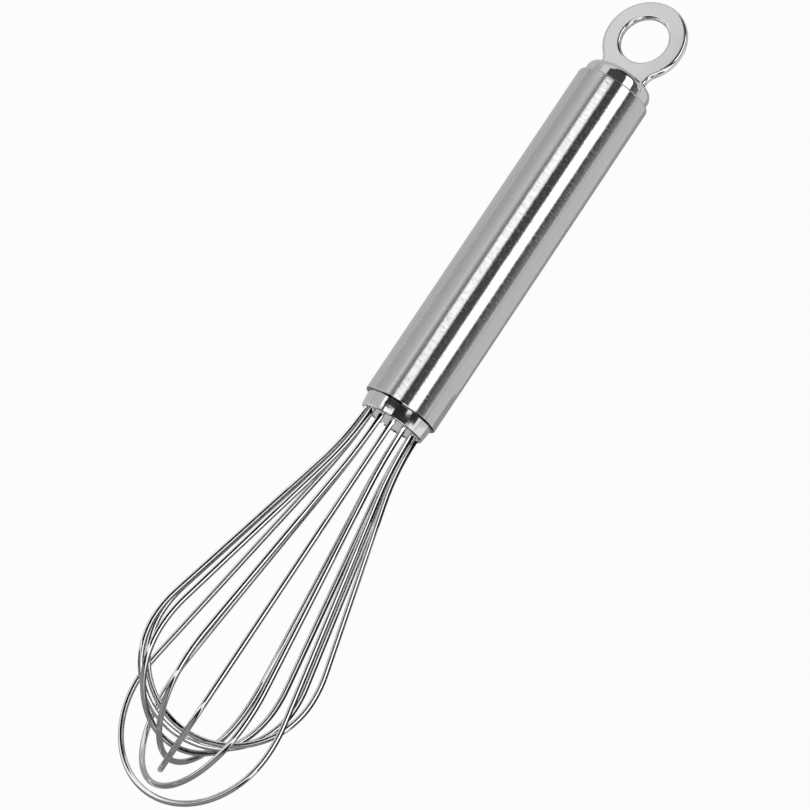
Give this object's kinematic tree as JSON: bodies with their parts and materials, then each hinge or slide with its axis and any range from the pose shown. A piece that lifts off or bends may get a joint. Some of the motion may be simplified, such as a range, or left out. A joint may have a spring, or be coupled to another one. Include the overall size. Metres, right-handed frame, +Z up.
{
  "type": "balloon whisk",
  "caption": "Balloon whisk for beating and mixing: a balloon of crossing steel wire loops on a straight tube handle, with a flat hanging ring at the end.",
  "frame": {"origin": "bottom centre of the whole whisk's box, on the surface that it lies on", "axes": "+X along the whisk from the hanging ring to the wire balloon, in plan; +Z up from the surface, so the handle climbs by four degrees towards the balloon"},
  "size_m": [0.2208, 0.0424, 0.0422],
  "materials": {
    "satin_tube": "stainless steel tube, satin, brushed round the tube",
    "polished_fittings": "stainless steel, turned and polished bright",
    "bright_wire": "drawn stainless steel wire, polished bright",
    "satin_plate": "stainless steel plate, tumbled satin",
    "casting_resin": "hard food-safe resin, dull, out of sight in the tube"
  },
  "bodies": {
    "root": {"handle_tube": "satin_tube", "front_collar": "polished_fittings", "wire_holder": "polished_fittings", "wire_seal": "casting_resin", "end_cap": "polished_fittings", "hanging_ring": "satin_plate", "wire_loop_1": "bright_wire", "wire_loop_2": "bright_wire", "wire_loop_3": "bright_wire", "wire_loop_4": "bright_wire", "wire_loop_5": "bright_wire", "wire_loop_6": "bright_wire", "wire_loop_7": "bright_wire"}
  },
  "joints": []
}
